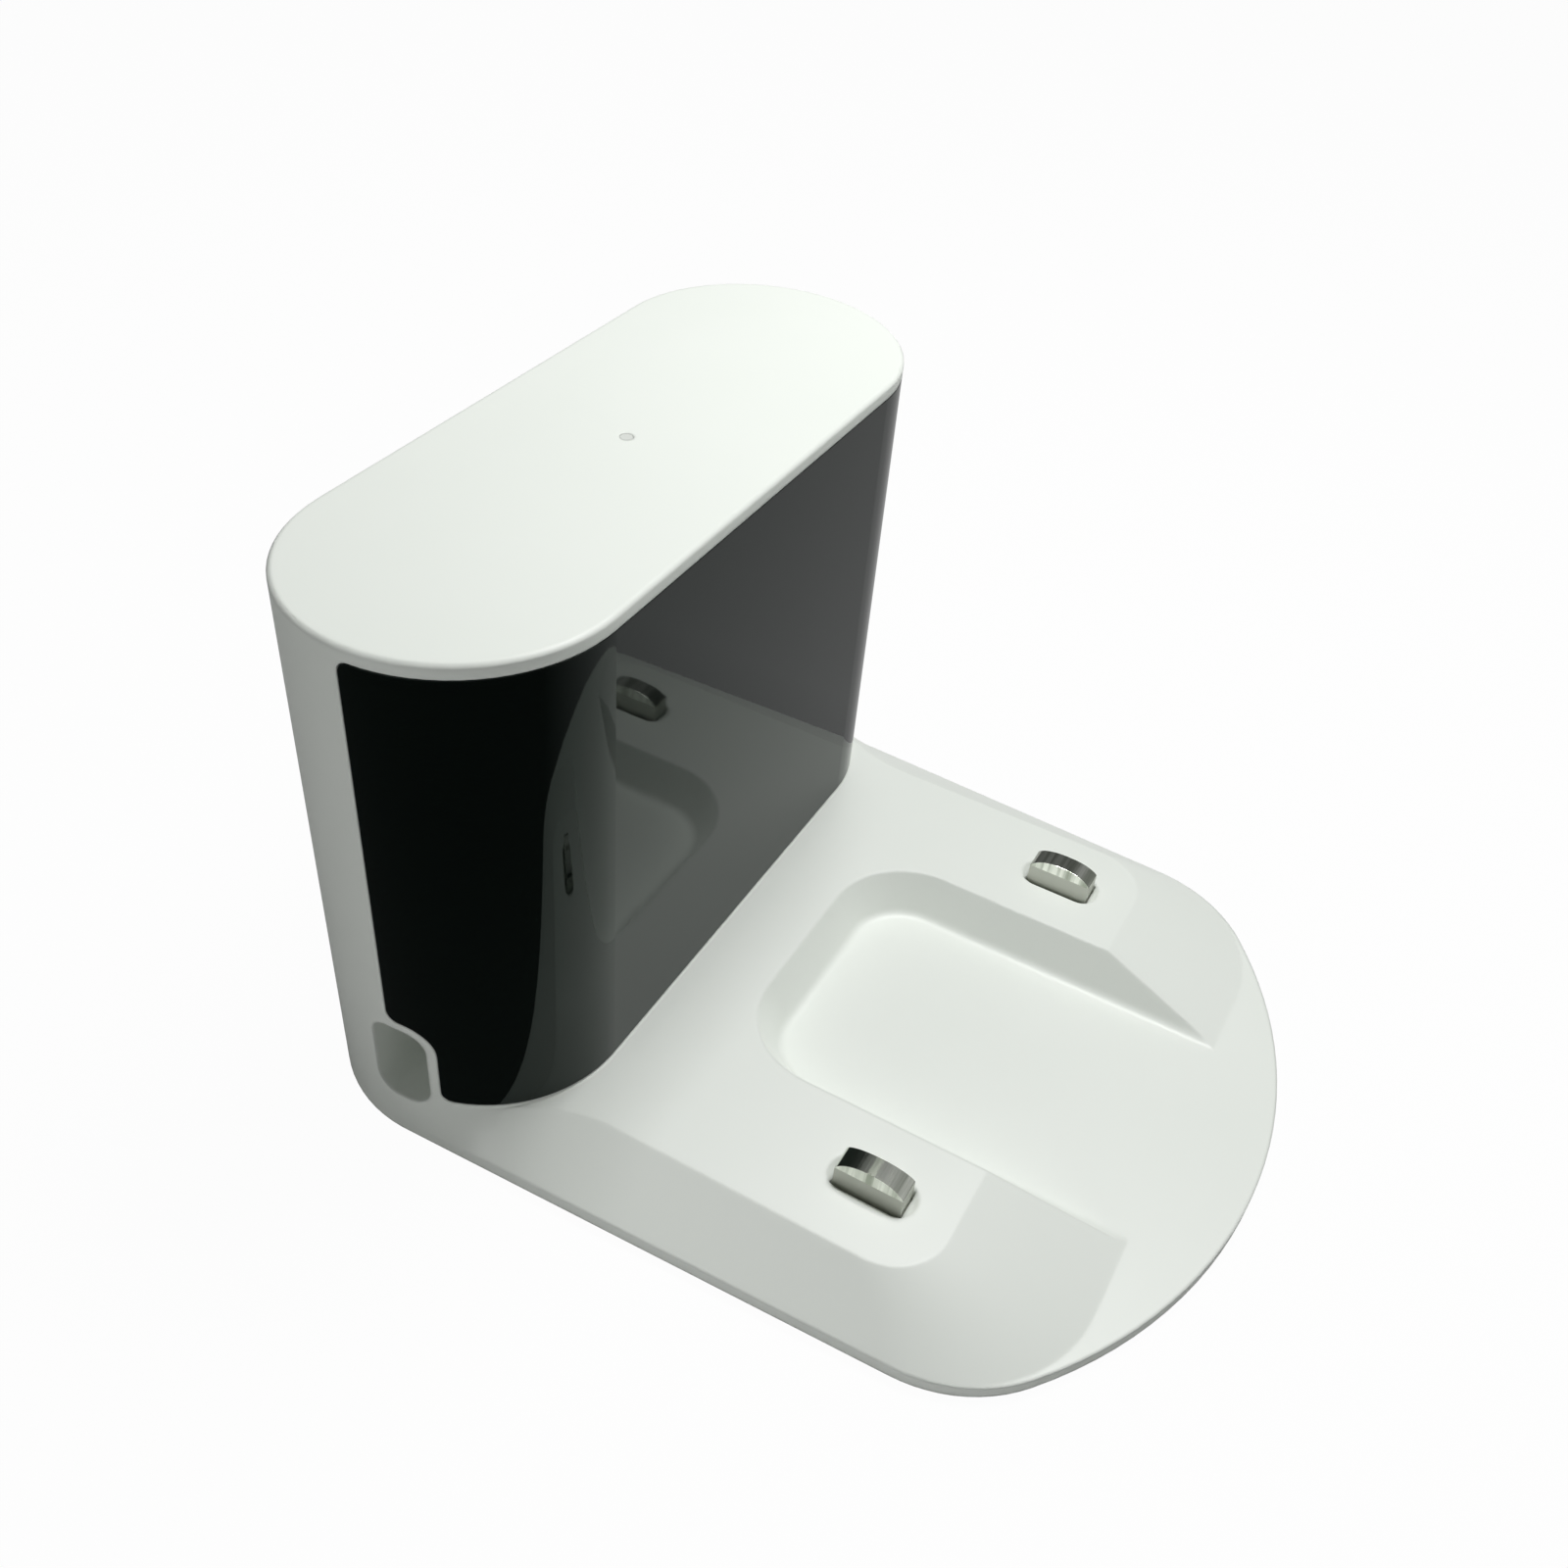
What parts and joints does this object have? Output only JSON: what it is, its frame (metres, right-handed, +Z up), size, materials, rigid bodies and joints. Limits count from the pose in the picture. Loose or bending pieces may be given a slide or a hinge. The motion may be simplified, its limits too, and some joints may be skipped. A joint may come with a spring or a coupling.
{
  "type": "robot vacuum charging dock",
  "caption": "Floor charging dock for a robot vacuum: low white deck with ramps, caster well and sprung metal contacts, and a tower with a wrap-round dark window.",
  "frame": {"origin": "On the floor, under the middle of the bounding box.", "axes": "+X to the right seen from the front, +Y to the rear, +Z up. The robot drives in from -Y."},
  "size_m": [0.13, 0.151, 0.098],
  "materials": {
    "white_plastic": "satin",
    "window_black": "gloss",
    "plate_white": "fine texture",
    "contact_nickel": "polished",
    "spring_bronze": "rolled",
    "carrier_black": "moulded",
    "lead_red": "extruded",
    "lead_black": "extruded",
    "board_green": "solder mask",
    "winding_tape": "taped",
    "capacitor_sleeve": "shrunk sleeve",
    "choke_coat": "coated",
    "sink_aluminium": "extruded",
    "fuse_cover": "moulded",
    "inlet_black": "moulded",
    "pin_brass": "plated",
    "shade_black": "moulded",
    "emitter_resin": "cast",
    "pipe_clear": "polished",
    "lamp_white": "cast",
    "foot_rubber": "moulded",
    "screw_steel": "zinc plated"
  },
  "bodies": {
    "dock": {"housing": "white_plastic", "front_window": "window_black", "base_plate": "plate_white", "rear_cover": "white_plastic", "contact_spring_left": "spring_bronze", "contact_spring_right": "spring_bronze", "contact_carrier_left": "carrier_black", "contact_carrier_right": "carrier_black", "contact_lead_left": "lead_black", "contact_lead_right": "lead_red", "power_board": "board_green", "transformer": "winding_tape", "bulk_capacitor": "capacitor_sleeve", "filter_choke": "choke_coat", "heat_sink": "sink_aluminium", "output_capacitors": "capacitor_sleeve", "fuse": "fuse_cover", "power_inlet": "inlet_black", "inlet_pins": "pin_brass", "beacon_board": "board_green", "beacon_emitters": "emitter_resin", "beacon_shade": "shade_black", "light_pipe": "pipe_clear", "status_led": "lamp_white", "foot_front_left": "foot_rubber", "foot_front_right": "foot_rubber", "foot_rear_left": "foot_rubber", "foot_rear_right": "foot_rubber", "base_screws": "screw_steel", "board_screws": "screw_steel", "cover_screws": "screw_steel"},
    "contact_left": {"contact_shoe_left": "contact_nickel"},
    "contact_right": {"contact_shoe_right": "contact_nickel"}
  },
  "joints": [
    {"name": "contact_left_press", "type": "slide", "parent": "dock", "child": "contact_left", "axis": [0, 0, -1], "range_m": [0, 0.003], "stiffness_N_per_m": 300, "springref_m": -0.004, "deforming": ["contact_spring_left"]},
    {"name": "contact_right_press", "type": "slide", "parent": "dock", "child": "contact_right", "axis": [0, 0, -1], "range_m": [0, 0.003], "stiffness_N_per_m": 300, "springref_m": -0.004, "deforming": ["contact_spring_right"]}
  ]
}
